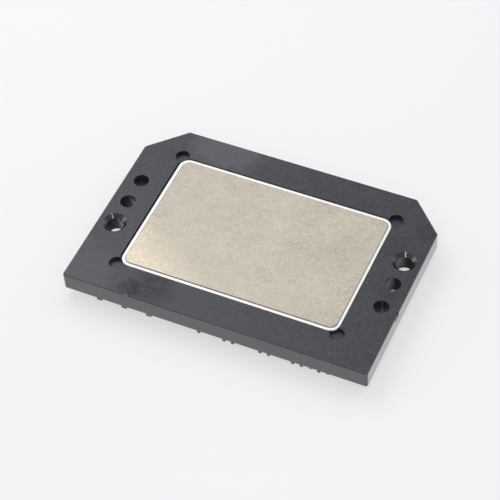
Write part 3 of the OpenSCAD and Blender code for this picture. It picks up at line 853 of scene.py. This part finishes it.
@dataclass(frozen=True)
class Crumbs:
    """Flat flecks of dried residue that lie on the frame beside the tile.

    Attributes:
        top: Where the frame's top lies.
        flecks: The place along X and Y and the size of each fleck, in millimetres.
        flatness: Their height as a share of their size.
        widths: Their widths as a share of their size, in turn.
        lift: How far their middle lies over the top, in heights.
        shake: How crumbled they are, as a share of their size.
        seed: Picks their shapes.
    """

    top: float
    flecks: tuple[tuple[float, float, float], ...] = (
        (40.1, 10.0, 0.75),
        (39.9, 9.2, 0.45),
        (39.9, 3.4, 0.5),
        (39.7, -1.2, 0.6),
        (39.6, -2.6, 0.7),
        (39.5, -8.2, 0.8),
        (39.8, -9.3, 0.45),
        (40.0, -12.2, 0.7),
        (42.4, -16.7, 0.5),
    )
    flatness: float = 0.2
    widths: tuple[float, ...] = (0.7, 0.8, 0.9)
    lift: float = 0.1
    shake: float = 0.16
    seed: int = 40

    def build(self, finish: bpy.types.Material) -> None:
        """Models each fleck.

        Args:
            finish: Their material.
        """
        for i, fleck in enumerate(self.flecks, 1):
            x, y, size = (length * MM for length in fleck)
            deselect_all()
            place = (x, y, self.top + size * self.flatness * self.lift)
            bpy.ops.mesh.primitive_ico_sphere_add(subdivisions=3, radius=size / 2, location=place)
            scale = (1.0, self.widths[i % len(self.widths)], self.flatness)
            roughen(scale, size * self.shake, uniform=0.4, normal=0.5, seed=self.seed + i, ease=0.5)
            close_piece(f"adhesive_crumb_{i}", finish)


# ---- Scene ----


def towards(azimuth: float, elevation: float) -> Vector:
    """The direction of a place round the object.

    Args:
        azimuth: Its angle round the object, in degrees: 0 is in front, 90 to the right.
        elevation: Its angle over the floor, in degrees.

    Returns:
        A vector of length 1.
    """
    a, e = math.radians(azimuth), math.radians(elevation)
    return Vector((math.sin(a) * math.cos(e), -math.cos(a) * math.cos(e), math.sin(e)))


def facing_back(direction: Vector) -> Matrix:
    """The turn of a lamp or camera that looks against a direction, with its head up."""
    return direction.to_track_quat("Z", "Y").to_matrix().to_4x4()


@dataclass(frozen=True)
class Lamp:
    """One area lamp that faces the object.

    Attributes:
        name: Its name.
        azimuth: Its angle round the object, in degrees.
        elevation: Its angle over the floor, in degrees.
        distance: How far off it is.
        size: How wide it is.
        power: Its power, in watts.
        height: The height of an upright rectangular lamp, or 0 for a round one.
    """

    name: str
    azimuth: float
    elevation: float
    distance: float
    size: float
    power: float
    height: float = 0.0

    def build(self) -> None:
        """Adds the lamp."""
        light = bpy.data.lights.new(self.name, "AREA")
        light.shape = "RECTANGLE" if self.height else "DISK"
        light.size = self.size
        light.size_y = self.height or self.size
        light.energy = self.power
        lamp = bpy.data.objects.new(self.name, light)
        back = towards(self.azimuth, self.elevation)
        lamp.matrix_world = Matrix.Translation(back * self.distance) @ facing_back(back)
        bpy.context.scene.collection.objects.link(lamp)


@dataclass(frozen=True)
class Studio:
    """The pale floor, the lamps and the white surround, which is dim overhead in front.

    Attributes:
        shade: The half length and half width of the shaded floor under the object.
        shade_edge: How far inside and outside of that the shade starts and ends.
        floor_colour: The floor's colour.
        floor_glow: How much of the floor glows.
        floor_half: Half the floor's side.
        glow_strength: How bright the glow is.
        surround_colour: The colour of the surround and of the glow.
        surround_foot: The surround's brightness at its foot.
        surround_behind: Its brightness overhead, behind.
        surround_front: Its brightness overhead, in front.
        front: Which way is in front for the surround, in degrees.
        turning: How far forward a direction of length 1 reaches where the part in front starts and is full.
        rising: How far up a direction of length 1 reaches where the part overhead starts and is full.
        lamps: The lamps.
    """

    shade: tuple[float, float]
    shade_edge: Step = (8 * MM, 1 * MM)
    floor_colour: Colour = (0.86, 0.865, 0.875)
    floor_glow: float = 0.66
    floor_half: float = 2.0
    glow_strength: float = 0.93
    surround_colour: Colour = (0.965, 0.975, 0.995)
    surround_foot: float = 1.0
    surround_behind: float = 0.84
    surround_front: float = 0.4
    front: float = 28.0
    turning: Step = (-0.3, 0.3)
    rising: Step = (0.2, 0.5)
    lamps: tuple[Lamp, ...] = (
        Lamp("left_softbox", azimuth=240, elevation=58, distance=0.45, size=0.3, power=0.68),
        Lamp("rear_left_softbox", azimuth=215, elevation=40, distance=0.6, size=0.3, power=0.15),
        Lamp("rear_softbox", azimuth=150, elevation=48, distance=0.9, size=0.55, power=0.9),
        Lamp("low_softbox", azimuth=280, elevation=17, distance=0.6, size=0.3, power=0.22),
        Lamp(
            "strip_lamp", azimuth=29, elevation=43.6, distance=0.188, size=0.008, power=0.027, height=0.034,
        ),
    )

    def build(self) -> None:
        """Makes the floor, the lamps and the surround."""
        self.floor()
        self.surround()
        for lamp in self.lamps:
            lamp.build()

    def floor(self) -> None:
        """Lays the floor. Part of it glows white where it is seen straight, through a clear piece or in
        a mirrored view, but the shade under the object isn't mirrored. The rest keeps the shadow."""
        deselect_all()
        bpy.ops.mesh.primitive_plane_add(size=2 * self.floor_half)
        floor = bpy.context.object
        floor.name = "floor"
        graph = Graph("pale_floor")
        matt = graph.node("ShaderNodeBsdfDiffuse", None, {"Color": self.floor_colour})
        glow = {"Color": self.surround_colour, "Strength": self.glow_strength}
        white = graph.node("ShaderNodeEmission", None, glow)
        path = graph.node("ShaderNodeLightPath")
        straight, mirrored, bent = (
            Value(graph, path.outputs[f"Is {kind} Ray"]) for kind in ("Camera", "Glossy", "Transmission")
        )
        inside, outside = self.shade_edge
        across, along = (
            graph.math("ABSOLUTE", graph.axis(axis)).above(half - inside, half + outside)
            for axis, half in zip((Axis.X, Axis.Y), self.shade)
        )
        unshaded = graph.math("MAXIMUM", across, along)
        seen = graph.math("MINIMUM", straight + bent, 1.0) * self.floor_glow + mirrored * unshaded
        mixed = graph.node("ShaderNodeMixShader", None, {0: seen, 1: matt.outputs[0], 2: white.outputs[0]})
        graph.node("ShaderNodeOutputMaterial", None, {"Surface": mixed.outputs[0]})
        floor.data.materials.append(graph.owner)

    def surround(self) -> None:
        """Makes the world: one brightness at its foot, one behind and one overhead in front."""
        graph = Graph("white_surround", world=True)
        turn = math.radians(self.front)
        in_front = graph.slope((math.sin(turn), -math.cos(turn))).above(*self.turning)
        raised = graph.axis(Axis.Z).above(*self.rising)
        upper = self.surround_behind + in_front * (self.surround_front - self.surround_behind)
        strength = self.surround_foot + raised * (upper - self.surround_foot)
        inputs = {"Color": self.surround_colour, "Strength": strength}
        light = graph.node("ShaderNodeBackground", None, inputs)
        graph.node("ShaderNodeOutputWorld", None, {"Surface": light.outputs[0]})
        bpy.context.scene.world = graph.owner


@dataclass(frozen=True)
class Viewpoint:
    """The camera: where it stands, what it aims at and how far it leans, in degrees and metres."""

    aim: Place
    azimuth: float = 27.86
    elevation: float = 50.17
    distance: float = 0.6242
    lean: float = -4.635
    lens: float = 137.5
    sensor_width: float = 36.0
    nearest: float = 0.05
    farthest: float = 20.0

    def build(self) -> None:
        """Makes the camera and puts it in place."""
        data = bpy.data.cameras.new("camera")
        data.lens = self.lens
        data.sensor_width = self.sensor_width
        data.clip_start = self.nearest
        data.clip_end = self.farthest
        camera = bpy.data.objects.new("camera", data)
        back = towards(self.azimuth, self.elevation)
        place = Matrix.Translation(Vector(self.aim) + back * self.distance)
        lean = Matrix.Rotation(math.radians(self.lean), 4, "Z")
        camera.matrix_world = place @ facing_back(back) @ lean
        bpy.context.scene.collection.objects.link(camera)
        bpy.context.scene.camera = camera


@dataclass(frozen=True)
class Module:
    """The module: a finish for every solid of the frame, and the small pieces that go on them.

    Attributes:
        nodes: The solids of the frame, by node.
        subparts: The record's rows, each with its node and its material slot.
        low: The lower corner of the moulded frame's box.
        high: The upper corner of the moulded frame's box.
    """

    nodes: dict[str, bpy.types.Object]
    subparts: list[dict[str, str]]
    low: Place
    high: Place

    def housing(self) -> MouldedPlastic:
        """The frame's plastic, with its stains, rubbed places and spots of painted sheen."""
        front, top = self.low[1], self.high[2]
        stains = (
            ((-24 * MM, -30 * MM, top), 10 * MM),
            ((-31 * MM, -33 * MM, top), 5 * MM),
        )
        scuffs_and_sheen = (
            ((-30.3 * MM, front, top), 0.8 * MM, 0.35),
            ((0.5 * MM, front, top), 0.6 * MM, 0.3),
            # The last two are large soft spots of painted sheen, at the back left and the front left of the
            # top.
            ((-27 * MM, 35 * MM, top), 17 * MM, 0.15),
            ((-49 * MM, -31 * MM, top), 15 * MM, 0.08),
        )
        return MouldedPlastic(stains=stains, scuffs_and_sheen=scuffs_and_sheen)

    def finishes(self) -> dict[Slot, Finish]:
        """The finish of each slot."""
        return {
            Slot.FRAME: self.housing(),
            Slot.LID: MouldedPlastic(name="lid_plastic", roughness=0.35),
            Slot.CERAMIC: Alumina(),
            Slot.NICKEL: NickelPlate(),
            Slot.ADHESIVE: SoftFiller(
                "cured_adhesive", dark=(0.5, 0.48, 0.42), light=(0.72, 0.69, 0.6), roughness=0.4,
            ),
            Slot.GEL: SoftFiller(
                "silicone_gel", dark=(0.7, 0.74, 0.73), light=(0.82, 0.86, 0.85), roughness=0.08,
                seen_through=0.6,
            ),
            Slot.COPPER: MetalSurface("bare_copper", dark=(0.5, 0.2, 0.1), light=(0.82, 0.42, 0.27)),
            Slot.SILICON: ChipFace(),
            Slot.SOLDER: MetalSurface(
                "dull_solder", dark=(0.4, 0.4, 0.41), light=(0.62, 0.62, 0.62), roughness=0.5, line=0.4 * MM,
            ),
            Slot.THERMISTOR: SoftFiller(
                "thermistor_glaze", dark=(0.02, 0.03, 0.02), light=(0.05, 0.07, 0.05), roughness=0.25,
            ),
            Slot.WIRE: MetalSurface(
                "drawn_aluminium", dark=(0.6, 0.6, 0.62), light=(0.85, 0.85, 0.86), roughness=0.28,
            ),
            # The terminals are dark: partly dull tin, partly painted shade.
            Slot.TERMINAL: MetalSurface(
                "dark_tin_painted_shade", dark=(0.08, 0.08, 0.085), light=(0.18, 0.18, 0.185), roughness=0.45,
                along=Axis.Z,
            ),
        }

    def dress(self) -> None:
        """Gives every solid of the frame the finish of its slot."""
        made = {slot: finish.build() for slot, finish in self.finishes().items()}
        for row in self.subparts:
            solid = self.nodes[row["node"]]
            finish = made[Slot(row["material_slot"])]
            if not solid.material_slots:
                solid.data.materials.append(finish)
            for slot in solid.material_slots:
                slot.material = finish
            LOG.info("%s: %s", row["node"], finish.name)

    def add_wear(self) -> None:
        """Adds the small pieces: the gate's stub, the rim's burrs and the flecks of residue."""
        front, end, top = self.low[1], self.high[0], self.high[2]
        scuffed = MouldedPlastic(
            name="scuffed_plastic", dark=(0.05, 0.05, 0.055), light=(0.12, 0.12, 0.125), roughness=0.6,
        ).build()
        GateStub(end, top).build(scuffed)
        RimBurrs(front, top).build(scuffed)
        residue = SoftFiller(
            "dried_residue", dark=(0.05, 0.036, 0.03), light=(0.21, 0.16, 0.115), roughness=0.5,
            cloud=0.4 * MM,
        ).build()
        Crumbs(top).build(residue)


def main() -> None:
    """Builds the scene in order."""
    logging.basicConfig(level=logging.INFO, format="%(message)s")
    low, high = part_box("frame")
    Viewpoint(aim=(-0.86 * MM, -4.12 * MM, high[2])).build()
    Studio(shade=(high[0], high[1])).build()
    module = Module(frame["nodes"], frame["record"]["subparts"], low, high)
    module.dress()
    module.add_wear()
    bpy.context.scene.view_settings.view_transform = "Standard"


if __name__ == "__main__":
    main()
